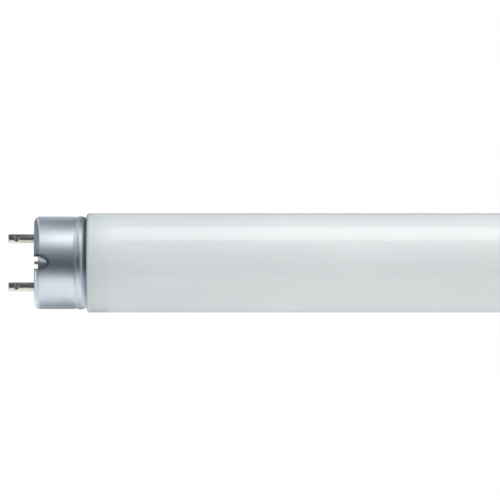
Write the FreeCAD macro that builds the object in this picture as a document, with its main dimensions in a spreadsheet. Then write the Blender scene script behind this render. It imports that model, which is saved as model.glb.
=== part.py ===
import FreeCAD, Part
import os
import re

import Sketcher
from FreeCAD import Placement, Rotation, Vector

# Fluorescent tube of the 26 mm class with a two-pin cap at each end.
# The lamp lies along X, with its middle at the origin and both pins of a cap in the XZ plane.
# What belongs to an end is drawn in that end's own frame: X runs from the outer face of the cap
# towards the middle of the lamp, and the pins stick out towards minus X.

# Driving sizes in millimetres
SIZES = {
    # The lamp between the outer faces of its caps, and the distance between two pins
    "cap_face_span": 589.0,
    "pin_spacing": 12.7,
    # Glass: the tube, and the shoulder where it narrows to the neck inside the cap
    "glass_radius": 13.1,
    "shoulder_step": 1.7,
    "shoulder_corner": 1.0,
    "shoulder_gap": 0.15,
    # Glass: the rim of the neck folds over into the flare, which runs in to the pressed stem
    "rim_setback": 5.0,
    "rim_fold": 2.7,
    "flare_length": 8.85,
    "flare_tube_radius": 4.2,
    "flare_tube_length": 3.15,
    # Glass: the exhaust stub in the middle of the stem, tapered to its sealed tip
    "exhaust_radius": 2.15,
    "exhaust_tip_radius": 1.0,
    "exhaust_tip_taper": 1.6,
    "exhaust_tip_gap": 1.25,
    # Cap shell: one drawn sheet with a turned-in rim, a groove and a rolled bead
    "cap_metal": 0.35,
    "cap_length": 13.6,
    "cap_corner": 1.5,
    "rim_width": 1.9,
    "bead_rise": 0.12,
    "bead_crown": 0.95,
    "bead_slope": 0.8,
    "lip_slope": 0.65,
    "lip_drop": 0.32,
    "groove_depth": 0.18,
    "groove_slope": 0.8,
    # Cap shell: the pockets pressed into both its sides, running out along it, each with a window
    "punch_radius": 2.75,
    "pocket_depth": 1.3,
    "pocket_length": 3.7,
    "window_width": 3.1,
    "window_depth": 1.1,
    # Insulator: the moulded disc that sits in the wall of the cap, just behind its corner
    "insulator_thickness": 1.25,
    "insulator_gap": 0.05,
    "key_width": 0.8,
    "key_thickness": 0.9,
    "key_setback": 0.1,
    # Pins: crimped from both sides, with a collar on the insulator and a shank through it
    "pin_radius": 1.175,
    "pin_length": 6.9,
    "pin_tip_bevel": 0.35,
    "pin_hole_gap": 0.12,
    "pin_collar_radius": 1.7,
    "pin_collar_thickness": 0.4,
    "pin_shank_radius": 1.0,
    "pin_shank_end": 0.5,
    "crimp_seat": 2.2,
    "crimp_jaw_radius": 1.0,
    "crimp_depth": 0.3,
    # Lead wires: from the pressed stem to the shanks of the pins
    "wire_radius": 0.3,
    "wire_root_offset": 3.2,
    "wire_root_length": 4.5,
    "wire_bend_length": 5.0,
    # Cement: the ring that bonds the cap to the neck
    "cement_thickness": 0.45,
    "cement_setback": 0.15,
}

# Radii that follow from the driving sizes
NECK = "(glass_radius - shoulder_step)"
CAP = f"({NECK} + cement_thickness + cap_metal)"
RIM = f"({CAP} - rim_width)"
CAP_BORE = f"({CAP} - cap_metal)"
FLARE_MOUTH = f"({NECK} - rim_fold)"

# Places along an end, measured from the outer face of its cap
SHOULDER = "(cap_length + shoulder_gap)"
INSULATOR_BACK = "(cap_corner + insulator_thickness)"
FLARE_END = "(rim_setback + flare_length)"
PRESS = f"({FLARE_END} + flare_tube_length)"
EXHAUST_TIP = f"({INSULATOR_BACK} + exhaust_tip_gap)"
PIN_END = f"({INSULATOR_BACK} + pin_shank_end)"
CEMENT_START = "(rim_setback + cement_setback)"

# The rolled end of the cap, from its open end outwards: the crown of the bead and the groove
CROWN_END = "(cap_length - lip_slope)"
CROWN_START = f"({CROWN_END} - bead_crown)"
GROOVE = f"({CROWN_START} - bead_slope)"
BARREL_END = f"({GROOVE} - groove_slope)"

# The round punch that presses a pocket: its underside slopes out through the wall of the cap
PUNCH_OUT = f"({CAP} - pocket_depth + punch_radius)"
PUNCH_SLOPE = "sqrt(pocket_length^2 + pocket_depth^2)"

# Sketch geometry numbers of the origin and the two axes, and the points of a line or circle
ORIGIN = -1
HORIZONTAL_AXIS = -1
VERTICAL_AXIS = -2
START = 1
END = 2
CENTRE = 3

FULL_TURN = 360
HALF_TURN = 180
OPPOSITE_SIDES = 2
# A rounded corner has its points at these turns of its quarter circle
CORNER_TURNS = (0, 45, 90)
SIDES = ("left", "right")
LEVELS = ("upper", "lower")

doc = FreeCAD.newDocument("fluorescent_tube")


def make_sheet():
    """The sheet that holds every driving size under its own name"""
    sheet = doc.addObject("Spreadsheet::Sheet", "Sizes")
    for row, (name, value) in enumerate(SIZES.items(), start=1):
        sheet.set(f"A{row}", name)
        sheet.set(f"B{row}", str(value))
        sheet.setAlias(f"B{row}", name)
    doc.recompute()
    return sheet


def bound(formula):
    """A formula whose size names point at the sheet"""
    def point(word):
        return f"Sizes.{word[0]}" if word[0] in SIZES else word[0]
    return re.sub(r"[a-z_]+", point, formula)


def measure(formula):
    """The present value of a formula"""
    return float(sheet.evalExpression(bound(formula)))


def tie(sketch, piece, end, along, out):
    """Bind both coordinates of a point of a sketch to formulas"""
    for axis, zero_line, formula in (("X", VERTICAL_AXIS, along), ("Y", HORIZONTAL_AXIS, out)):
        if formula == "0":
            sketch.addConstraint(Sketcher.Constraint("PointOnObject", piece, end, zero_line))
            continue
        distance = Sketcher.Constraint(f"Distance{axis}", ORIGIN, START, piece, end, measure(formula))
        number = sketch.addConstraint(distance)
        sketch.setExpression(f"Constraints[{number}]", bound(formula))


def tie_radius(sketch, piece, formula):
    """Bind the radius of a circle to a formula"""
    number = sketch.addConstraint(Sketcher.Constraint("Radius", piece, measure(formula)))
    sketch.setExpression(f"Constraints[{number}]", bound(formula))


def new_sketch(body, name, plane):
    """An empty sketch on one of the body's own origin planes"""
    sketch = body.newObject("Sketcher::SketchObject", name)
    sketch.AttachmentSupport = [(origin_feature(body, plane), "")]
    sketch.MapMode = "FlatFace"
    return sketch


def origin_feature(body, role):
    """An origin plane or axis of a body"""
    return next(feature for feature in body.Origin.OriginFeatures if feature.Role == role)


def outline(body, name, plane, corners, closed=True):
    """A sketch of straight lines from corner to corner, every corner bound to the sheet"""
    sketch = new_sketch(body, name, plane)
    points = [Vector(measure(along), measure(out), 0) for along, out in corners]
    lines = []
    for index in range(0 if closed else 1, len(corners)):
        lines.append(sketch.addGeometry(Part.LineSegment(points[index - 1], points[index])))
        tie(sketch, lines[-1], END, *corners[index])
    followers = lines[1:] + lines[:1] if closed else lines[1:]
    for line, follower in zip(lines, followers):
        sketch.addConstraint(Sketcher.Constraint("Coincident", line, END, follower, START))
    if not closed:
        tie(sketch, lines[0], START, *corners[0])
    return sketch


def circles(body, name, plane, rounds):
    """A sketch of circles, each given by its centre and radius"""
    sketch = new_sketch(body, name, plane)
    for across, out, radius in rounds:
        centre = Vector(measure(across), measure(out), 0)
        piece = sketch.addGeometry(Part.Circle(centre, Vector(0, 0, 1), measure(radius)))
        tie(sketch, piece, CENTRE, across, out)
        tie_radius(sketch, piece, radius)
    return sketch


def rectangle(body, name, plane, left, right, low, high):
    """A sketch of a rectangle between four formulas"""
    steps = [(left, low), (right, low), (right, high), (left, high)]
    return outline(body, name, plane, steps)


def new_body(name):
    """A body whose label names its piece"""
    body = doc.addObject("PartDesign::Body", name)
    body.Label = name
    return body


def feature(body, kind, name, sketch):
    """A feature of a body made from a sketch"""
    made = body.newObject(f"PartDesign::{kind}", name)
    made.Profile = sketch
    body.Tip = made
    return made


def revolved(body, kind, name, sketch, axis="H_Axis"):
    """A solid of revolution, added or cut"""
    made = feature(body, kind, name, sketch)
    made.ReferenceAxis = (sketch, [axis])
    made.Angle = FULL_TURN
    return made


def cut_inwards(body, name, sketch, depth):
    """A pocket cut from the sketch towards the middle of the lamp"""
    made = feature(body, "Pocket", name, sketch)
    made.Reversed = True
    made.setExpression("Length", bound(depth))
    return made


def cut_through(body, name, sketch):
    """A pocket cut from the sketch both ways, through everything"""
    made = feature(body, "Pocket", name, sketch)
    made.SideType = "Symmetric"
    made.Type = "ThroughAll"
    return made


def repeat_opposite(body, name, original):
    """The same feature again on the opposite side of the body's X axis"""
    pattern = body.newObject("PartDesign::PolarPattern", name)
    pattern.Originals = [original]
    pattern.Axis = (origin_feature(body, "X_Axis"), [""])
    pattern.Angle = FULL_TURN
    pattern.Occurrences = OPPOSITE_SIDES
    body.Tip = pattern
    return pattern


def place(thing, side, roll=0, height="0"):
    """Set a piece of an end on its side of the lamp, rolled about X and raised along Z"""
    facing = Rotation(Vector(0, 0, 1), HALF_TURN if side == "right" else 0)
    thing.Placement = Placement(Vector(), facing.multiply(Rotation(Vector(1, 0, 0), roll)))
    sign = "" if side == "right" else "-"
    thing.setExpression("Placement.Base.x", bound(f"{sign}cap_face_span / 2"))
    thing.setExpression("Placement.Base.z", bound(height))


def along_glass(place_on_end):
    """A place along the left end, seen from the middle of the lamp"""
    return f"{place_on_end} - cap_face_span / 2"


def rounded(along, out, radius, turns):
    """Corners on a circle about a centre, at turns counted from minus X towards the outside"""
    return [
        (f"{along} - {radius} * cos({turn})", f"{out} + {radius} * sin({turn})")
        for turn in turns
    ]


def make_glass():
    """The sealed glass tube, one solid with the flare, the press and the exhaust stub of each end"""
    body = new_body("glass_tube")
    shoulder = rounded(along_glass(f"{SHOULDER} + shoulder_corner"), "glass_radius - shoulder_corner",
                       "shoulder_corner", reversed(CORNER_TURNS))
    steps = [("0", "0"), ("0", "glass_radius")] + shoulder + [
        (along_glass(SHOULDER), NECK),
        (along_glass("rim_setback"), NECK),
        (along_glass("rim_setback"), FLARE_MOUTH),
        (along_glass(FLARE_END), "flare_tube_radius"),
        (along_glass(PRESS), "flare_tube_radius"),
        (along_glass(PRESS), "exhaust_radius"),
        (along_glass(f"{EXHAUST_TIP} + exhaust_tip_taper"), "exhaust_radius"),
        (along_glass(EXHAUST_TIP), "exhaust_tip_radius"),
        (along_glass(EXHAUST_TIP), "0"),
    ]
    half = revolved(body, "Revolution", "left_half", outline(body, "half_section", "XY_Plane", steps))
    mirror = body.newObject("PartDesign::Mirrored", "right_half")
    mirror.Originals = [half]
    mirror.MirrorPlane = (origin_feature(body, "YZ_Plane"), [""])
    body.Tip = mirror
    return body


def cap_wall(inset):
    """Half section of the cap's sheet round its corner, moved in by inset"""
    return rounded("cap_corner", f"{CAP} - cap_corner", f"(cap_corner - {inset})", CORNER_TURNS)


def from_underside(along, out, distance):
    """The point at a distance square to the underside of the punch, away from the cap"""
    return (f"{along} - ({distance}) * pocket_depth / {PUNCH_SLOPE}",
            f"{out} + ({distance}) * pocket_length / {PUNCH_SLOPE}")


def press_pockets(body, name, growth):
    """Press both pockets into a form of the cap, with the punch grown all round"""
    front = ("-pocket_length", f"{CAP} - pocket_depth - pocket_depth")
    back = ("pocket_length + pocket_length", f"{CAP} + pocket_depth")
    axis_ends = [from_underside(*end, "punch_radius") for end in (back, front)]
    edge_ends = [from_underside(*end, f"-({growth})") for end in (front, back)]
    sketch = outline(body, f"{name}_section", "XY_Plane", edge_ends + axis_ends)
    line = Part.LineSegment(*[Vector(measure(along), measure(out), 0) for along, out in axis_ends])
    axis = sketch.addGeometry(line, True)
    for point, end in zip((START, END), axis_ends):
        tie(sketch, axis, point, *end)
    dent = revolved(body, "Groove", name, sketch, "Axis0")
    return repeat_opposite(body, f"{name}_opposite", dent)


def make_cap_shell(side):
    """The drawn cap: its outer form less its inner form, both with the same pressed pockets"""
    crown = f"{CAP} + bead_rise"
    outer = new_body(f"{side}_cap_outer_form")
    bead = [
        (BARREL_END, CAP),
        (GROOVE, f"{CAP} - groove_depth"),
        (CROWN_START, crown),
        (CROWN_END, crown),
        ("cap_length", f"{crown} - lip_drop"),
        ("cap_length", "0"),
    ]
    steps = [("0", "0")] + cap_wall("0") + bead
    revolved(outer, "Revolution", "outer_turned", outline(outer, "outer_section", "XY_Plane", steps))
    press_pockets(outer, "outer_pocket", "0")
    window = rectangle(outer, "window_section", "YZ_Plane",
                       f"-{CAP}", CAP, "-window_width / 2", "window_width / 2")
    cut_inwards(outer, "windows", window, "window_depth")

    inner = new_body(f"{side}_cap_inner_form")
    opening = [("-cap_metal", "0"), ("-cap_metal", RIM), ("cap_metal", RIM)]
    mouth = [
        ("cap_length + cap_metal", CAP_BORE),
        ("cap_length + cap_metal", "0"),
    ]
    steps = opening + cap_wall("cap_metal") + mouth
    revolved(inner, "Revolution", "inner_turned", outline(inner, "inner_section", "XY_Plane", steps))
    press_pockets(inner, "inner_pocket", "cap_metal")

    shell = doc.addObject("Part::Cut", f"{side}_cap_shell")
    shell.Base = outer
    shell.Tool = inner
    place(shell, side)
    return shell


def make_insulator(side):
    """The moulded disc, seated round both pockets and keyed under their windows"""
    body = new_body(f"{side}_insulator")
    section = rectangle(body, "disc_section", "XY_Plane", "cap_corner", INSULATOR_BACK, "0", CAP_BORE)
    revolved(body, "Revolution", "disc_turned", section)
    seat_radius = "punch_radius + cap_metal + insulator_gap"
    rounds = [(PUNCH_OUT, "0", seat_radius), (f"-{PUNCH_OUT}", "0", seat_radius)]
    cut_through(body, "pocket_seats", circles(body, "seat_section", "YZ_Plane", rounds))

    seat = f"({CAP} - pocket_depth - cap_metal - insulator_gap)"
    key_section = rectangle(body, "key_section", "YZ_Plane",
                            f"{seat} - key_thickness", seat, "-key_width / 2", "key_width / 2")
    key_section.setExpression("AttachmentOffset.Base.z", bound("key_setback"))
    key = feature(body, "Pad", "key", key_section)
    key.setExpression("Length", bound("cap_corner - key_setback"))
    repeat_opposite(body, "key_opposite", key)

    hole = "pin_shank_radius + pin_hole_gap"
    rounds = [("0", "pin_spacing / 2", hole), ("0", "-pin_spacing / 2", hole)]
    cut_through(body, "pin_holes", circles(body, "pin_hole_section", "YZ_Plane", rounds))
    place(body, side)
    return body


def make_pin(side, level):
    """A pin: bevelled tip, crimped from both sides, its collar on the insulator"""
    body = new_body(f"{side}_pin_{level}")
    steps = [
        ("-pin_length", "0"),
        ("-pin_length", "pin_radius - pin_tip_bevel"),
        ("pin_tip_bevel - pin_length", "pin_radius"),
        ("cap_corner - pin_collar_thickness", "pin_radius"),
        ("cap_corner - pin_collar_thickness", "pin_collar_radius"),
        ("cap_corner", "pin_collar_radius"),
        ("cap_corner", "pin_shank_radius"),
        (PIN_END, "pin_shank_radius"),
        (PIN_END, "0"),
    ]
    section = outline(body, "pin_section", "XY_Plane", steps)
    revolved(body, "Revolution", "pin_turned", section)

    seat = "crimp_seat - pin_length"
    out = "pin_radius - crimp_depth + crimp_jaw_radius"
    jaws = [(seat, out, "crimp_jaw_radius"), (seat, f"-({out})", "crimp_jaw_radius")]
    cut_through(body, "crimp", circles(body, "crimp_section", "XY_Plane", jaws))
    sign = "" if level == "upper" else "-"
    place(body, side, height=f"{sign}pin_spacing / 2")
    return body


def make_lead_wire(side, level):
    """A lead wire: out of the press, kinked over to its pin, and on to the pin's shank"""
    body = new_body(f"{side}_lead_wire_{level}")
    bend_start = f"({PRESS} - wire_root_length)"
    bend_end = f"({bend_start} - wire_bend_length)"
    steps = [
        (PRESS, "wire_root_offset"),
        (bend_start, "wire_root_offset"),
        (bend_end, "pin_spacing / 2"),
        (PIN_END, "pin_spacing / 2"),
    ]
    route = outline(body, "route", "XZ_Plane", steps, closed=False)
    end = circles(body, "wire_end", "YZ_Plane", [("0", "wire_root_offset", "wire_radius")])
    end.setExpression("AttachmentOffset.Base.z", bound(PRESS))
    wire = feature(body, "AdditivePipe", "drawn_wire", end)
    wire.Spine = route
    wire.Transition = "Right corner"
    place(body, side, roll=0 if level == "upper" else HALF_TURN)
    return body


def make_cement(side):
    """The ring of cement between the neck of the glass and the wall of the cap"""
    body = new_body(f"{side}_cement")
    section = rectangle(body, "ring_section", "XY_Plane", CEMENT_START, BARREL_END, NECK, CAP_BORE)
    revolved(body, "Revolution", "ring", section)
    place(body, side)
    return body


def make_pieces():
    """Every piece of the lamp"""
    pieces = [make_glass()]
    for side in SIDES:
        pieces += [make_cap_shell(side), make_insulator(side), make_cement(side)]
        for level in LEVELS:
            pieces += [make_pin(side, level), make_lead_wire(side, level)]
    return pieces


def check(pieces):
    """Stop if any object failed, or if a piece has no sound solid"""
    for thing in doc.Objects:
        if {"Invalid", "Error"} & set(thing.State):
            raise RuntimeError(f"{thing.Label} failed: {thing.State}")
    for piece in pieces:
        shape = piece.Shape
        if shape.isNull() or not shape.isValid() or len(shape.Solids) != 1:
            raise RuntimeError(f"{piece.Label} is not one sound solid")


sheet = make_sheet()
pieces = make_pieces()
doc.recompute()
check(pieces)
os.makedirs("parts", exist_ok=True)
for piece in pieces:
    piece.Shape.exportStep(f"parts/{piece.Label}.step")
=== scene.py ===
import math

import bpy
from mathutils import Matrix, Vector


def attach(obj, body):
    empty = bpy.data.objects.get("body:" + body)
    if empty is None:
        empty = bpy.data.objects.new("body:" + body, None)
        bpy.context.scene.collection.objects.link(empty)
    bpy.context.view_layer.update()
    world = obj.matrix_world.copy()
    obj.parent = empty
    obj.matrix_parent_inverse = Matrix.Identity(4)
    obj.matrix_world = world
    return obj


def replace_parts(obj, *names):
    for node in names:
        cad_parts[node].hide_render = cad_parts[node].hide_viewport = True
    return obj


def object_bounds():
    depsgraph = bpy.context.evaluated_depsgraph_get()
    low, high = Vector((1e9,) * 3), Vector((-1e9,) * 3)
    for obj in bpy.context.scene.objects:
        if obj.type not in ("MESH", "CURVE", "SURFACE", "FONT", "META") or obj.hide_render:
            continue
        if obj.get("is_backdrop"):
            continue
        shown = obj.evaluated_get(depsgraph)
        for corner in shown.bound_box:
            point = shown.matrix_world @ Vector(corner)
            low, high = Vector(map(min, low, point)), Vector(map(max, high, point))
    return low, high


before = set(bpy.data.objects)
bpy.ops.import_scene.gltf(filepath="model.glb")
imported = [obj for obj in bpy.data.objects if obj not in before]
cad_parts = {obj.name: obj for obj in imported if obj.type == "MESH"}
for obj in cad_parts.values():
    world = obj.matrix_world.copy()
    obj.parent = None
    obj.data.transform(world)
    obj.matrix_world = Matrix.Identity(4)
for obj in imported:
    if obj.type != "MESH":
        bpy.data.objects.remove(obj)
first_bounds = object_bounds()

# Sizes in millimetres. At each end, u runs inwards from the outer face of the cap, and r is a radius
MM = 0.001
TINY = 1e-6

# From the middle of the lamp to the outer face of each cap
FACE = 294.5

# Glass
GLASS_R = 13.1
SHOULDER = 13.75
SHOULDER_ROUND = 1.0
NECK_R = 11.4
NECK_ROUND = 0.25
NECK_MIDDLE = 9.0
GLASS_RIM_U = 6.35
GLASS_RIM_ROUND = 1.35
FLARE_LENGTH = 7.5
FLARE_ROWS = 12
WELL_R = 4.2
WELL_BOTTOM = 17.0
WELL_ROUND = 0.3
STUB_R = 2.15
STUB_TIP = 4.0
STUB_ROUND = 1.7
STUB_MIDDLE = 6.2

# Rows of the glass along the tube, counted from the end of its shoulder, and faces round the axis
TUBE_ROWS = [6, 20, 45, 90, 150, 210]
GLASS_TURNS = 160

# Sheet metal of the cap
CAP_R = 12.2
CAP_LENGTH = 13.6
CAP_METAL = 0.35
CAP_CORNER = 1.5
CAP_RIM_R = 10.3
CAP_RIM_BEVEL = 0.12
GROOVE_START = 9.7
GROOVE_U = 11.2
GROOVE_DEPTH = 0.12
GROOVE_CURVE = 2.2
RISE_START = 11.05
BEAD_U = 12.0
BEAD_R = 12.32
LIP_DROP = 0.32
LIP_CURVE = 1.5
LIP_BEVEL_U = 0.06
LIP_BEVEL_R = 0.05

# Pressed pockets, their windows and the painted shade in their creases
PUNCH_R = 2.75
POCKET_DEPTH = 1.3
POCKET_LENGTH = 3.7
POCKET_BLEND = 0.26
WINDOW_HALF = 1.55
WINDOW_DEPTH = 1.1
WINDOW_EDGE = math.degrees(math.asin(WINDOW_HALF / CAP_R))
CREASE_SHADE_END = 6.0
CREASE_SHADE_WIDTH = 0.34
CREASE_SHADE_SHIFT = 0.05
CREASE_SHADE_LEAST = 0.35
CREASE_SHADE_LOW = -1.6
CREASE_SHADE_HIGH = 0.4
NEARBY = 0.05
LEAST_SLOPE = 0.05

# Rows of the cap's mesh along u in millimetres, and its columns round the axis in degrees
CORNER_STEP = 6
POCKET_ROWS_END = 4.4
POCKET_ROW = 0.1
BARREL_ROWS = [5.2, 6.5, 8.0, 9.2]
BEAD_ROWS_START = 9.8
BEAD_ROWS = 44
FINE_HALF = 20
FINE_STEP = 0.5
COARSE_STEP = 3.5
WINDOW_ROOM = 0.2
STRAIGHT_UNTIL = 12
ROUND_FROM = 19

# Pins
PIN_R = 1.175
PIN_LENGTH = 6.9
PIN_APART = 12.7
PIN_TURNS = 64
TIP_FLAT_R = 0.35
TIP_ROUND = 0.42
CRIMP_U = 2.2
CRIMP_R = 1.0
CRIMP_DEPTH = 0.3
CRIMP_BLEND = 0.06
CRIMP_ROWS_START = 0.5
CRIMP_ROW = 0.08
CRIMP_ROWS = 39
ROOT_ROW = -1.0
COLLAR_U = 1.1
COLLAR_END = 1.5
COLLAR_R = 1.7
SHANK_R = 1.0
SHANK_END = 3.25

# From the frame of each end to the frame of the lamp
SIDES = {"left": Matrix.Translation((-FACE * MM, 0, 0)),
         "right": Matrix.Translation((FACE * MM, 0, 0)) @ Matrix.Rotation(math.pi, 4, "Z")}


# Mesh helpers

def make_object(name, points, faces, sharp=40):
    """A smooth-shaded piece from points in metres"""
    mesh = bpy.data.meshes.new(name)
    mesh.from_pydata(points, [], faces)
    mesh.validate()
    mesh.shade_smooth()
    mesh.set_sharp_from_angle(angle=math.radians(sharp))
    made = bpy.data.objects.new(name, mesh)
    bpy.context.scene.collection.objects.link(made)
    return made


def at_end(side, u, y, z):
    """A point of an end, in the frame of the lamp"""
    return SIDES[side] @ Vector((u * MM, y * MM, z * MM))


def arc(centre_u, centre_r, radius, start, end, count):
    """Points of an arc in the half section, angles in degrees from +u towards +r"""
    made = []
    for index in range(count + 1):
        angle = math.radians(start + (end - start) * index / count)
        made.append((centre_u + radius * math.cos(angle), centre_r + radius * math.sin(angle)))
    return made


def lathe(rows, turn_count, to_world):
    """Points and faces of a closed half section turned about the axis, with single points on the axis"""
    points, faces, rings = [], [], []
    for u, r in rows:
        if r < TINY:
            rings.append([len(points)] * turn_count)
            points.append(to_world(u, 0, 0))
            continue
        rings.append(list(range(len(points), len(points) + turn_count)))
        for index in range(turn_count):
            angle = math.tau * index / turn_count
            points.append(to_world(u, r * math.cos(angle), r * math.sin(angle)))
    for ring, follower in zip(rings, rings[1:]):
        for index in range(turn_count):
            after = (index + 1) % turn_count
            face = [ring[index], ring[after], follower[after], follower[index]]
            face = list(dict.fromkeys(face))
            if len(face) > 2:
                faces.append(face)
    return points, faces


def soft(value, start, end):
    """A smooth step from 0 at start to 1 at end"""
    part = min(max((value - start) / (end - start), 0.0), 1.0)
    return part * part * (3 - 2 * part)


def soft_limit(value, limit, blend):
    """The value where it is below the limit and the limit elsewhere, with a soft turn between the two"""
    depth = value - limit
    if depth <= -blend:
        return value
    if depth >= blend:
        return limit
    return value - (depth + blend) ** 2 / (4 * blend)


# The glass: fine tube with rounded shoulder, neck, rolled rim, flare, well and stub

def glass_end_rows():
    """Half section of one end, from the full width of the tube in to the tip of the stub"""
    rows = arc(SHOULDER + SHOULDER_ROUND, GLASS_R - SHOULDER_ROUND, SHOULDER_ROUND, 90, 180, 12)
    rows += arc(SHOULDER - NECK_ROUND, NECK_R + NECK_ROUND, NECK_ROUND, 0, -90, 5)
    rows += [(NECK_MIDDLE, NECK_R)]
    rows += arc(GLASS_RIM_U, NECK_R - GLASS_RIM_ROUND, GLASS_RIM_ROUND, 90, 270, 16)
    flare_r = NECK_R - 2 * GLASS_RIM_ROUND
    for index in range(1, FLARE_ROWS + 1):
        part = index / FLARE_ROWS
        rows.append((GLASS_RIM_U + FLARE_LENGTH * part, flare_r + (WELL_R - flare_r) * soft(part, 0, 1)))
    rows += [(WELL_BOTTOM, WELL_R)]
    rows += arc(WELL_BOTTOM - WELL_ROUND, STUB_R + WELL_ROUND, WELL_ROUND, 0, -90, 3)
    rows += [(STUB_MIDDLE, STUB_R)]
    rows += arc(STUB_TIP + STUB_ROUND, STUB_R - STUB_ROUND, STUB_ROUND, 90, 180, 8)
    rows += [(STUB_TIP, 0.0)]
    return rows


def make_glass():
    """The whole glass: the section of the left end, rows up to the middle, and the same again mirrored"""
    straight = SHOULDER + SHOULDER_ROUND - FACE
    end = [(u - FACE, r) for u, r in glass_end_rows()]
    middle = [(straight + step, GLASS_R) for step in TUBE_ROWS + [-straight]]
    left = list(reversed(end)) + middle
    rows = left + [(-u, r) for u, r in reversed(left[:-1])]

    def to_world(u, y, z):
        return Vector((u * MM, y * MM, z * MM))

    points, faces = lathe(rows, GLASS_TURNS, to_world)
    made = make_object("fine_glass_tube", points, faces)
    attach(made, "root")
    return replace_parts(made, "glass_tube")


# The cap: sheet metal with a turned-in rim, pressed pockets with windows, a groove and a rolled bead

def barrel_radius(u):
    """Outer radius of the cap behind its corner: straight, into the groove, over the bead and to the lip"""
    bottom = CAP_R - GROOVE_DEPTH
    if u < GROOVE_U:
        part = max(0.0, (u - GROOVE_START) / (GROOVE_U - GROOVE_START))
        return CAP_R - GROOVE_DEPTH * part ** GROOVE_CURVE
    if u < BEAD_U:
        return bottom + (BEAD_R - bottom) * soft(u, RISE_START, BEAD_U)
    return BEAD_R - LIP_DROP * ((u - BEAD_U) / (CAP_LENGTH - BEAD_U)) ** LIP_CURVE


def cap_profile():
    """Pairs of outer and inner points of the sheet, from the edge of the rim to the lip of the bead"""
    pairs = [((CAP_RIM_BEVEL, CAP_RIM_R), (CAP_METAL - CAP_RIM_BEVEL, CAP_RIM_R)),
             ((0.0, CAP_RIM_R + CAP_RIM_BEVEL), (CAP_METAL, CAP_RIM_R + CAP_RIM_BEVEL))]
    centre = CAP_R - CAP_CORNER
    inner_corner = CAP_CORNER - CAP_METAL
    angles = [CORNER_STEP * index for index in range(90 // CORNER_STEP + 1)]
    angles.append(math.degrees(math.acos((CAP_CORNER - WINDOW_DEPTH) / CAP_CORNER)))
    for angle in sorted(angles):
        turn = math.radians(angle)
        outer = (CAP_CORNER - CAP_CORNER * math.cos(turn), centre + CAP_CORNER * math.sin(turn))
        inner = (CAP_CORNER - inner_corner * math.cos(turn), centre + inner_corner * math.sin(turn))
        pairs.append((outer, inner))
    inner_r = CAP_R - CAP_METAL
    pocket_count = round((POCKET_ROWS_END - CAP_CORNER) / POCKET_ROW)
    barrel = [CAP_CORNER + POCKET_ROW * index for index in range(1, pocket_count + 1)] + BARREL_ROWS
    bead_length = CAP_LENGTH - LIP_BEVEL_U - BEAD_ROWS_START
    bead = [BEAD_ROWS_START + bead_length * index / BEAD_ROWS for index in range(BEAD_ROWS + 1)]
    pairs += [((u, barrel_radius(u)), (u, inner_r)) for u in barrel + bead]
    pairs.append(((CAP_LENGTH, barrel_radius(CAP_LENGTH) - LIP_BEVEL_R), (CAP_LENGTH, inner_r)))
    return pairs


def pocket_radius(u, turn, growth):
    """Radius of the pressed pocket at this place, or None beside it: the punch slopes out along the cap"""
    slope = math.atan2(POCKET_DEPTH, POCKET_LENGTH)
    axis_out = CAP_R - POCKET_DEPTH + u * math.tan(slope) + PUNCH_R / math.cos(slope)
    cosine, sine = math.cos(turn) * math.cos(slope), math.sin(turn)
    a = cosine ** 2 + sine ** 2
    b = axis_out * math.cos(slope) * cosine
    inside = b ** 2 - a * ((axis_out * math.cos(slope)) ** 2 - (PUNCH_R + growth) ** 2)
    if cosine <= 0 or inside <= 0:
        return None
    return (b - math.sqrt(inside)) / a


def pressed(u, r, turn, growth):
    """Radius after the punch has pressed the sheet, with a soft crease"""
    pocket = pocket_radius(u, turn, growth)
    return r if pocket is None else soft_limit(r, pocket, POCKET_BLEND)


def painted_crease_shade_at(u, turn):
    """Share of painted shade at a place on the barrel: it lies in the pocket's crease, darker on one side
    """
    middle = pocket_radius(u, turn, 0.0)
    along = pocket_radius(u + NEARBY, turn, 0.0)
    around = pocket_radius(u, turn + NEARBY / CAP_R, 0.0)
    if u >= CREASE_SHADE_END or None in (middle, along, around):
        return 0.0
    slope = math.hypot(along - middle, around - middle) / NEARBY
    away = (CAP_R - middle) / max(slope, LEAST_SLOPE)
    upper = soft(math.sin(turn) * CAP_R, CREASE_SHADE_LOW, CREASE_SHADE_HIGH)
    return math.exp(-((away + CREASE_SHADE_SHIFT) / CREASE_SHADE_WIDTH) ** 2) * (CREASE_SHADE_LEAST + (1 - CREASE_SHADE_LEAST) * upper)


def cap_columns():
    """Angles round one half of the cap: fine across the pocket, exact at the window, coarse beyond"""
    fine_count = round(FINE_HALF / FINE_STEP)
    fine = [FINE_STEP * index for index in range(-fine_count, fine_count + 1)]
    fine = [angle for angle in fine if abs(abs(angle) - WINDOW_EDGE) > WINDOW_ROOM]
    coarse_count = round((180 - 2 * FINE_HALF) / COARSE_STEP)
    coarse = [FINE_HALF + COARSE_STEP * index for index in range(1, coarse_count)]
    return sorted(fine + [-WINDOW_EDGE, WINDOW_EDGE]) + coarse


def column_turn(angle, r):
    """Angle of a column at a radius: near the pocket the columns run straight in"""
    straight = 1 - soft(abs(angle), STRAIGHT_UNTIL, ROUND_FROM)
    if straight <= 0:
        return math.radians(angle)
    across = CAP_R * math.sin(math.radians(angle)) / r
    return straight * math.asin(max(-1.0, min(1.0, across))) + (1 - straight) * math.radians(angle)


def in_window(pairs, columns, row, column):
    """Whether this cell of the sheet is cut away by a window"""
    deepest = max(pairs[row][0][0], pairs[row + 1][0][0])
    first = columns[column][1]
    last = columns[(column + 1) % len(columns)][1]
    return deepest <= WINDOW_DEPTH + TINY and -WINDOW_EDGE - TINY <= first < last <= WINDOW_EDGE + TINY


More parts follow.
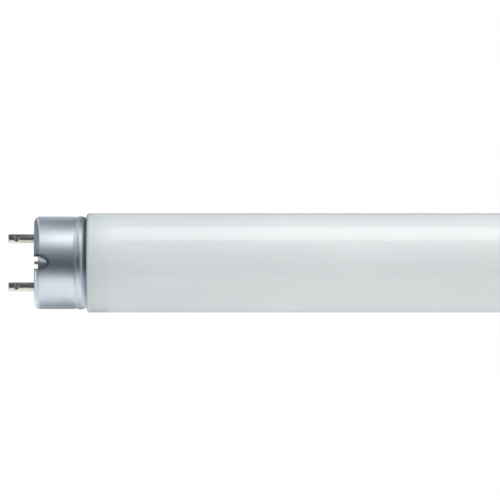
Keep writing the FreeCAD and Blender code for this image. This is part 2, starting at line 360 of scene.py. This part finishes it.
def sheet_faces(outer, inner, cells, count):
    """Faces on both sides of each cell of the sheet, and across its edge where the next cell is missing"""
    faces = []
    for row, column in sorted(cells):
        after = (column + 1) % count
        a, b, c, d = (row, column), (row, after), (row + 1, after), (row + 1, column)
        faces.append([outer[place] for place in (a, b, c, d)])
        faces.append([inner[place] for place in (a, d, c, b)])
        neighbours = [((row - 1, column), a, b), ((row + 1, column), c, d),
                      ((row, (column - 1) % count), d, a), ((row, after), b, c)]
        for neighbour, one, two in neighbours:
            if neighbour not in cells:
                faces.append([outer[two], outer[one], inner[one], inner[two]])
    return faces


def make_cap(side):
    """The cap shell of one end, whose colour attribute holds the share of painted crease shade at each
    point
    """
    pairs = cap_profile()
    columns = [(centre, angle) for centre in (0, 180) for angle in cap_columns()]
    points, crease_shade_shares, layers = [], [], []
    for which, growth in ((0, 0.0), (1, CAP_METAL)):
        layer = {}
        for row, pair in enumerate(pairs):
            u, r = pair[which]
            for column, (centre, angle) in enumerate(columns):
                turn = column_turn(angle, r)
                radius = pressed(u, r, turn, growth)
                around = turn + math.radians(centre)
                layer[row, column] = len(points)
                points.append(at_end(side, u, -radius * math.cos(around), radius * math.sin(around)))
                # Painted shade for the pockets' creases, on the outer side of the sheet only
                crease_shade_shares.append(painted_crease_shade_at(u, turn) if which == 0 else 0.0)
        layers.append(layer)
    cells = {(row, column) for row in range(len(pairs) - 1) for column in range(len(columns))
             if not in_window(pairs, columns, row, column)}
    faces = sheet_faces(*layers, cells, len(columns))
    made = make_object(f"{side}_fine_cap", points, faces, sharp=50)
    crease_shade_layer = made.data.color_attributes.new("crease", "FLOAT_COLOR", "POINT")
    for entry, share in zip(crease_shade_layer.data, crease_shade_shares):
        entry.color = (share, share, share, 1.0)
    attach(made, "root")
    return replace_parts(made, f"{side}_cap_shell")


# The pins: a rounded tip, a crimp on both sides, a collar on the insulator and a shank through it

def make_pin(side, level):
    """One pin, pressed in by round jaws from both sides near the tip"""
    height = PIN_APART / 2 * (1 if level == "upper" else -1)
    rows = [(-PIN_LENGTH, 0.0), (-PIN_LENGTH, TIP_FLAT_R)]
    rows += arc(-PIN_LENGTH + TIP_ROUND, PIN_R - TIP_ROUND, TIP_ROUND, 180, 90, 6)
    rows += [(-PIN_LENGTH + CRIMP_ROWS_START + CRIMP_ROW * index, PIN_R) for index in range(CRIMP_ROWS)]
    rows += [(ROOT_ROW, PIN_R), (COLLAR_U, PIN_R), (COLLAR_U, COLLAR_R), (COLLAR_END, COLLAR_R),
             (COLLAR_END, SHANK_R), (SHANK_END, SHANK_R), (SHANK_END, 0.0)]

    def to_world(u, y, z):
        reach = abs(y)
        along = u + PIN_LENGTH - CRIMP_U
        if abs(along) < CRIMP_R:
            jaw = PIN_R - CRIMP_DEPTH + CRIMP_R - math.sqrt(CRIMP_R ** 2 - along ** 2)
            reach = soft_limit(reach, jaw, CRIMP_BLEND)
        return at_end(side, u, math.copysign(reach, y), z + height)

    points, faces = lathe(rows, PIN_TURNS, to_world)
    made = make_object(f"{side}_fine_pin_{level}", points, faces)
    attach(made, "root")
    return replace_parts(made, f"{side}_pin_{level}")


# Materials

# How far in from each cap's face the painted shade on the coating reaches
COATING_SHADE_REACH = 65
FINE_BUMP = 0.00001
BOARD_BUMP = 0.00004
CEMENT_BUMP = 0.0001


class Nodes:
    """Short calls for building a node tree"""

    def __init__(self, name):
        self.material = bpy.data.materials.new(name)
        self.material.use_nodes = True
        self.tree = self.material.node_tree
        self.shader = self.tree.nodes["Principled BSDF"]

    def add(self, kind, **values):
        """A new node with its properties set"""
        node = self.tree.nodes.new(kind)
        for key, value in values.items():
            setattr(node, key, value)
        return node

    def link(self, source, target):
        """A link from an output to an input"""
        self.tree.links.new(source, target)

    def set(self, socket, value):
        """A constant or a link on an input of the shader"""
        if hasattr(value, "links"):
            self.link(value, self.shader.inputs[socket])
        else:
            self.shader.inputs[socket].default_value = value

    def place(self, scale):
        """Coordinates of the piece, stretched by scale"""
        coordinates = self.add("ShaderNodeTexCoord")
        mapping = self.add("ShaderNodeMapping")
        mapping.inputs["Scale"].default_value = scale
        self.link(coordinates.outputs["Object"], mapping.inputs["Vector"])
        return mapping.outputs["Vector"]

    def noise(self, scale, detail=4.0, roughness=0.55, stretch=(1, 1, 1)):
        """Noise in the frame of the lamp, as a factor"""
        node = self.add("ShaderNodeTexNoise")
        node.inputs["Scale"].default_value = scale
        node.inputs["Detail"].default_value = detail
        node.inputs["Roughness"].default_value = roughness
        self.link(self.place(stretch), node.inputs["Vector"])
        return node.outputs["Fac"]

    def ramp(self, source, stops):
        """A colour ramp through (position, colour) stops"""
        node = self.add("ShaderNodeValToRGB")
        elements = node.color_ramp.elements
        while len(elements) < len(stops):
            elements.new(0.5)
        for element, (position, colour) in zip(elements, stops):
            element.position = position
            element.color = (*colour, 1)
        self.link(source, node.inputs["Fac"])
        return node.outputs["Color"]

    def ranged(self, source, low, high, start=0.0, end=1.0):
        """A factor moved from the range start to end into the range low to high"""
        node = self.add("ShaderNodeMapRange")
        node.inputs["From Min"].default_value = start
        node.inputs["From Max"].default_value = end
        node.inputs["To Min"].default_value = low
        node.inputs["To Max"].default_value = high
        self.link(source, node.inputs["Value"])
        return node.outputs["Result"]

    def bump(self, source, distance, strength, after=None):
        """A bumped normal, on top of another one where it is given"""
        node = self.add("ShaderNodeBump")
        node.inputs["Strength"].default_value = strength
        node.inputs["Distance"].default_value = distance
        self.link(source, node.inputs["Height"])
        if after is not None:
            self.link(after, node.inputs["Normal"])
        return node.outputs["Normal"]

    def mix(self, blend, factor, first, second):
        """Two colours mixed, where each of factor, first and second is a constant or an output"""
        node = self.add("ShaderNodeMix", data_type="RGBA", blend_type=blend)
        factor_input = node.inputs[0]
        first_input, second_input = node.inputs[6:8]
        for value, target in ((factor, factor_input), (first, first_input), (second, second_input)):
            if hasattr(value, "links"):
                self.link(value, target)
            else:
                target.default_value = value
        return node.outputs[2]


def painted_shade_near_caps(nodes):
    """Painted shade on the coating: it greys a little towards the caps, and more at the shoulder beside the
    cap
    """
    coordinates = nodes.add("ShaderNodeTexCoord")
    split = nodes.add("ShaderNodeSeparateXYZ")
    nodes.link(coordinates.outputs["Object"], split.inputs["Vector"])
    reach = nodes.add("ShaderNodeMath", operation="ABSOLUTE")
    nodes.link(split.outputs["X"], reach.inputs[0])
    start, end = (FACE - COATING_SHADE_REACH) * MM, (FACE - SHOULDER) * MM
    return nodes.ramp(nodes.ranged(reach.outputs[0], 0.0, 1.0, start, end),
                      [(0.0, (1.0, 1.0, 1.0)), (0.39, (0.95, 0.957, 0.96)), (0.86, (0.92, 0.94, 0.945)),
                       (0.93, (0.86, 0.89, 0.90)), (0.987, (0.80, 0.84, 0.855)), (1.0, (0.56, 0.6, 0.62))])


def glass_material():
    """Clear glass over a pale coating"""
    nodes = Nodes("coated_glass")
    patches = nodes.noise(55.0, detail=5.0, roughness=0.6, stretch=(0.6, 1, 1))
    colour = nodes.ramp(patches, [(0.3, (0.70, 0.735, 0.745)), (0.7, (0.745, 0.775, 0.785))])
    # Painted shade: the coating's colour darkens towards the caps and most at the shoulder
    nodes.set("Base Color", nodes.mix("MULTIPLY", 1.0, colour, painted_shade_near_caps(nodes)))
    nodes.set("Roughness", nodes.ranged(nodes.noise(260.0), 0.42, 0.52))
    nodes.set("IOR", 1.5)
    nodes.set("Coat Weight", 1.0)
    nodes.set("Coat Roughness", 0.04)
    nodes.set("Coat IOR", 1.5)
    nodes.set("Normal", nodes.bump(nodes.noise(900.0, detail=3.0), FINE_BUMP, 0.25))
    return nodes.material


def cap_material():
    """Bright drawn metal with painted shade in the creases of its pockets"""
    nodes = Nodes("cap_metal")
    rings = nodes.noise(900.0, detail=3.0, roughness=0.6, stretch=(1, 0.04, 0.04))
    cloud = nodes.noise(160.0, detail=5.0, roughness=0.6)
    colour = nodes.ramp(cloud, [(0.3, (0.72, 0.77, 0.82)), (0.7, (0.80, 0.84, 0.88))])
    crease = nodes.add("ShaderNodeAttribute", attribute_name="crease")
    # Painted shade: the crease attribute darkens the colour towards dark grey in the pockets' creases
    nodes.set("Base Color", nodes.mix("MIX", crease.outputs["Fac"], colour, (0.20, 0.23, 0.25, 1.0)))
    nodes.set("Metallic", 1.0)
    nodes.set("Roughness", nodes.ranged(cloud, 0.17, 0.25))
    drawn = nodes.bump(rings, FINE_BUMP, 0.35)
    nodes.set("Normal", nodes.bump(nodes.noise(700.0), FINE_BUMP, 0.25, after=drawn))
    return nodes.material


def pin_material():
    """Dull plated brass"""
    nodes = Nodes("pin_brass")
    cloud = nodes.noise(500.0, detail=5.0, roughness=0.6)
    nodes.set("Base Color", nodes.ramp(cloud, [(0.3, (0.60, 0.60, 0.50)), (0.55, (0.71, 0.71, 0.60)),
                                               (0.75, (0.79, 0.78, 0.66))]))
    nodes.set("Metallic", 1.0)
    nodes.set("Roughness", nodes.ranged(cloud, 0.2, 0.32))
    nodes.set("Normal", nodes.bump(nodes.noise(1500.0), FINE_BUMP, 0.4))
    return nodes.material


def board_material():
    """Grey pressed board"""
    nodes = Nodes("insulating_board")
    grain = nodes.noise(900.0, detail=6.0, roughness=0.7)
    nodes.set("Base Color", nodes.ramp(grain, [(0.35, (0.20, 0.20, 0.19)), (0.65, (0.29, 0.29, 0.28))]))
    nodes.set("Roughness", nodes.ranged(grain, 0.45, 0.65))
    nodes.set("Normal", nodes.bump(grain, BOARD_BUMP, 0.4))
    return nodes.material


def cement_material():
    """Brown grainy cement"""
    nodes = Nodes("cap_cement")
    grain = nodes.noise(1400.0, detail=8.0, roughness=0.75)
    nodes.set("Base Color", nodes.ramp(grain, [(0.35, (0.36, 0.30, 0.23)), (0.65, (0.55, 0.48, 0.38))]))
    nodes.set("Roughness", 0.9)
    nodes.set("Normal", nodes.bump(grain, CEMENT_BUMP, 0.7))
    return nodes.material


def wire_material():
    """Nickel with fine drawn lines along the lamp"""
    nodes = Nodes("wire_nickel")
    lines = nodes.noise(1200.0, roughness=0.6, stretch=(0.1, 1, 1))
    nodes.set("Base Color", nodes.ramp(lines, [(0.3, (0.5, 0.49, 0.46)), (0.7, (0.68, 0.67, 0.64))]))
    nodes.set("Metallic", 1.0)
    nodes.set("Roughness", nodes.ranged(lines, 0.25, 0.4))
    return nodes.material


def card_material():
    """Light for reflections, as bright as the colour attribute of the card says"""
    material = bpy.data.materials.new("reflection_tent")
    material.use_nodes = True
    tree = material.node_tree
    tree.nodes.clear()
    level = tree.nodes.new("ShaderNodeAttribute")
    level.attribute_name = "level"
    glow = tree.nodes.new("ShaderNodeEmission")
    tree.links.new(level.outputs["Color"], glow.inputs["Color"])
    end = tree.nodes.new("ShaderNodeOutputMaterial")
    tree.links.new(glow.outputs["Emission"], end.inputs["Surface"])
    return material


def dress(thing, material):
    """A piece with this material alone"""
    thing.data.materials.clear()
    thing.data.materials.append(material)


# Stage, in metres: sheets bent round the axis and walls across it, which only reflections see

TENT_R = 0.35
PIN_TENT_R = 0.06
TENT_STEP = 4
WALL_CELLS = 360
FAR_LEFT = -0.9
PINS_LEFT = -0.335
METAL_LEFT = -0.2946
METAL_RIGHT = -0.2806
FAR_RIGHT = 0.9
LEFT_WALL_X = -0.29462
RIGHT_WALL_X = -0.2808
SHADOW_BLUE = 0.14

# Levels of light at elevations in degrees, 0 towards the camera and 90 up
METAL_LEVELS = [(-180, 0.40), (-130, 0.30), (-115, 0.48), (-107, 0.60), (-95, 0.80), (-85, 0.94),
                (-60, 0.98), (-49, 0.94), (-38, 0.72), (-28, 0.35), (-18, 0.145), (-8, 0.095),
                (2, 0.11), (12, 0.175), (22, 0.26), (32, 0.42), (42, 0.72), (53, 1.28), (64, 1.40),
                (74, 1.10), (84, 0.78), (90, 0.56), (97, 0.43), (105, 0.37), (118, 0.27), (124, 0.30),
                (135, 0.40), (150, 0.55), (180, 0.5)]
GLASS_LEVELS = [(-180, 0.5), (-110, 0.9), (-40, 1.1), (-20, 0.3), (20, 0.2), (50, 0.3), (56, 2.4),
                (86, 2.4), (92, 0.35), (130, 0.3), (160, 0.4), (180, 0.5)]
PIN_LEVELS = [(-180, 0.8), (-110, 1.2), (-42, 1.25), (-34, 0.12), (-20, 0.04), (60, 0.07), (150, 0.2),
              (180, 0.3)]
END_LEVELS = [(-180, 0.3), (-140, 0.8), (-30, 0.8), (-5, 0.3), (20, 0.2), (60, 0.15), (90, 0.3),
              (180, 0.3)]
RIGHT_LEVELS = [(-180, 0.35), (-110, 0.4), (-95, 0.55), (-80, 0.66), (-55, 0.66), (-42, 0.45),
                (-30, 0.36), (-22, 0.29), (-15, 0.18), (-8, 0.08), (0, 0.06), (20, 0.07), (40, 0.09),
                (60, 0.08), (75, 0.09), (90, 0.14), (110, 0.2), (180, 0.3)]
LEFT_LEVELS = [(-180, 0.5), (-110, 0.65), (-60, 0.72), (-40, 0.72), (-28, 0.65), (-20, 0.42),
               (-14, 0.22), (-8, 0.13), (-3, 0.10), (8, 0.07), (15, 0.2), (22, 0.3), (30, 0.32),
               (40, 0.2), (55, 0.14), (68, 0.3), (80, 0.55), (97, 0.6), (120, 0.45), (180, 0.4)]

# Extra light on the left wall for the pocket, and on the right wall for the top of the bead
POCKET_GLOW = [(-180, 0.0), (-9, 0.0), (-7, 0.6), (-3, 0.52), (-1, 0.1), (0, 0.0), (180, 0.0)]
BEAD_GLOW = [(-180, 1.0), (-90, 0.0), (-70, 0.0), (-45, 0.8), (-25, 1.0), (-10, 1.2), (10, 1.5),
             (20, 1.8), (30, 2.5), (42, 2.8), (50, 2.3), (58, 1.1), (66, 0.2), (72, 0.0), (130, 0.0),
             (150, 1.0), (180, 1.0)]
NO_GLOW = [(-180, 0.0), (180, 0.0)]

# Rings of the walls: radius, how far the level has gone from near to far, and the share of extra light
RIGHT_RINGS = [(0.0115, 0.0, 0.0), (0.0135, 0.0, 0.0), (0.0148, 0.15, 0.15), (0.0175, 0.28, 0.3),
               (0.0198, 0.36, 0.3), (0.0215, 0.42, 0.03), (0.05, 0.8, 0.03), (0.1, 1.0, 0.0),
               (TENT_R, 1.0, 0.0)]
LEFT_RINGS = [(0.0124, 0.0, 1.0), (0.014, 0.1, 1.0), (0.02, 0.3, 0.8), (0.026, 0.35, 0.0),
              (0.08, 0.5, 0.0), (0.2, 0.95, 0.0), (TENT_R, 1.0, 0.0)]
END_RINGS = [(0.0, 0.0, 0.0), (TENT_R, 0.0, 0.0)]

LAMP_LENGTH = 1.2
LAMP_WIDTH = 0.3
LAMP_ENERGY = 1.8
LAMP_ELEVATION = 68
LAMP_DISTANCE = 0.7
WORLD_LIGHT = 0.85

PICTURE_WIDTH = 0.1319
PICTURE_X = -0.23765
PICTURE_Z = 0.00338
LENS = 800.0
SENSOR = 36.0
NEAR_CLIP = 0.1
FAR_CLIP = 20.0


def tint(grey):
    """The colour of a level: the dark parts are a little blue"""
    blue = SHADOW_BLUE * (1 - min(grey, 1.0))
    return (grey * (1 - blue), grey, grey * (1 + blue), 1.0)


def level_at(stops, elevation):
    """The level between two stops"""
    for (low, first), (high, last) in zip(stops, stops[1:]):
        if low <= elevation <= high:
            return first + (last - first) * (elevation - low) / (high - low)
    return stops[-1][1]


def round_axis(x, radius, elevation):
    """A place round the axis of the lamp"""
    angle = math.radians(elevation)
    return (x, -radius * math.cos(angle), radius * math.sin(angle))


def stage_card(name, points, faces, levels):
    """A card that only reflections see, with a level of light at each point"""
    mesh = bpy.data.meshes.new(name)
    mesh.from_pydata(points, [], faces)
    colours = mesh.color_attributes.new("level", "FLOAT_COLOR", "POINT")
    for entry, level in zip(colours.data, levels):
        entry.color = level
    card = bpy.data.objects.new(name, mesh)
    bpy.context.scene.collection.objects.link(card)
    for way in ("camera", "diffuse", "transmission", "shadow", "volume_scatter"):
        setattr(card, f"visible_{way}", False)
    card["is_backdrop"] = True
    return card


def tent(name, stops, left, right, radius=TENT_R):
    """A sheet bent round the lamp from left to right, with a level at each elevation"""
    fine = []
    for (low, first), (high, last) in zip(stops, stops[1:]):
        count = max(1, round((high - low) / TENT_STEP))
        for index in range(count):
            part = index / count
            fine.append((low + (high - low) * part, first + (last - first) * part))
    fine.append(stops[-1])
    points, levels = [], []
    for elevation, grey in fine:
        points += [round_axis(left, radius, elevation), round_axis(right, radius, elevation)]
        levels += [tint(grey)] * 2
    faces = [[2 * index, 2 * index + 1, 2 * index + 3, 2 * index + 2] for index in range(len(fine) - 1)]
    return stage_card(name, points, faces, levels)


def wall(name, near, far, glow, x, rings):
    """A flat wall across the tent, with near levels at its inner ring and far levels at its outer one"""
    points, faces, levels = [], [], []
    for index in range(WALL_CELLS + 1):
        elevation = -180 + 360 * index / WALL_CELLS
        first, last, extra = [level_at(stops, elevation) for stops in (near, far, glow)]
        for radius, share, more in rings:
            points.append(round_axis(x, radius, elevation))
            levels.append(tint(first + (last - first) * share + more * extra))
    width = len(rings)
    for index in range(WALL_CELLS):
        for ring in range(width - 1):
            corner = index * width + ring
            faces.append([corner, corner + 1, corner + width + 1, corner + width])
    return stage_card(name, points, faces, levels)


def make_lamp():
    """A long soft lamp above the tube and parallel to it, which reflections don't see"""
    data = bpy.data.lights.new("top_lamp", "AREA")
    data.shape = "RECTANGLE"
    data.size = LAMP_LENGTH
    data.size_y = LAMP_WIDTH
    data.energy = LAMP_ENERGY
    lamp = bpy.data.objects.new("top_lamp", data)
    bpy.context.scene.collection.objects.link(lamp)
    lamp.location = round_axis(0.0, LAMP_DISTANCE, LAMP_ELEVATION)
    lamp.rotation_mode = "QUATERNION"
    lamp.rotation_quaternion = lamp.location.to_track_quat("Z", "Y")
    lamp.visible_glossy = False
    lamp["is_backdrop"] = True


def make_world():
    """A white world, at full strength for camera, glossy and transmission rays and weaker for the others"""
    world = bpy.data.worlds.new("white_surroundings")
    bpy.context.scene.world = world
    world.use_nodes = True
    tree = world.node_tree
    tree.nodes.clear()
    path = tree.nodes.new("ShaderNodeLightPath")
    camera_or_glossy = tree.nodes.new("ShaderNodeMath")
    camera_or_glossy.operation = "MAXIMUM"
    seen = tree.nodes.new("ShaderNodeMath")
    seen.operation = "MAXIMUM"
    tree.links.new(path.outputs["Is Camera Ray"], camera_or_glossy.inputs[0])
    tree.links.new(path.outputs["Is Glossy Ray"], camera_or_glossy.inputs[1])
    tree.links.new(camera_or_glossy.outputs[0], seen.inputs[0])
    tree.links.new(path.outputs["Is Transmission Ray"], seen.inputs[1])
    level = tree.nodes.new("ShaderNodeMapRange")
    level.inputs["To Min"].default_value = WORLD_LIGHT
    level.inputs["To Max"].default_value = 1.0
    tree.links.new(seen.outputs[0], level.inputs["Value"])
    white = tree.nodes.new("ShaderNodeBackground")
    white.inputs["Color"].default_value = (1, 1, 1, 1)
    tree.links.new(level.outputs["Result"], white.inputs["Strength"])
    end = tree.nodes.new("ShaderNodeOutputWorld")
    tree.links.new(white.outputs["Background"], end.inputs["Surface"])


def make_camera():
    """A long lens square on to the left end, as far off as makes the picture as wide as it has to be"""
    data = bpy.data.cameras.new("camera")
    data.sensor_width = SENSOR
    data.lens = LENS
    data.clip_start = NEAR_CLIP
    data.clip_end = FAR_CLIP
    camera = bpy.data.objects.new("camera", data)
    bpy.context.scene.collection.objects.link(camera)
    camera.location = (PICTURE_X, -PICTURE_WIDTH * LENS / SENSOR, PICTURE_Z)
    camera.rotation_euler = (math.pi / 2, 0, 0)
    bpy.context.scene.camera = camera


# Build

dress(make_glass(), glass_material())
cap_metal, brass = cap_material(), pin_material()
board, cement, nickel = board_material(), cement_material(), wire_material()
for side in SIDES:
    dress(make_cap(side), cap_metal)
    dress(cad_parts[f"{side}_insulator"], board)
    dress(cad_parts[f"{side}_cement"], cement)
    for level in ("upper", "lower"):
        dress(make_pin(side, level), brass)
        dress(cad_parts[f"{side}_lead_wire_{level}"], nickel)

make_world()
make_lamp()
cards = [tent("metal_tent", METAL_LEVELS, METAL_LEFT, METAL_RIGHT),
         tent("glass_tent", GLASS_LEVELS, METAL_RIGHT, FAR_RIGHT),
         tent("pin_tent", PIN_LEVELS, PINS_LEFT, METAL_LEFT, radius=PIN_TENT_R),
         tent("end_tent", END_LEVELS, FAR_LEFT, PINS_LEFT),
         wall("right_wall", RIGHT_LEVELS, METAL_LEVELS, BEAD_GLOW, RIGHT_WALL_X, RIGHT_RINGS),
         wall("end_wall", END_LEVELS, END_LEVELS, NO_GLOW, FAR_LEFT, END_RINGS),
         wall("left_wall", LEFT_LEVELS, METAL_LEVELS, POCKET_GLOW, LEFT_WALL_X, LEFT_RINGS)]
reflected = card_material()
for card in cards:
    dress(card, reflected)
make_camera()
bpy.context.scene.view_settings.view_transform = "Standard"

last_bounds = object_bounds()
boxes = [[list(corner) for corner in low_high] for low_high in (first_bounds, last_bounds)]
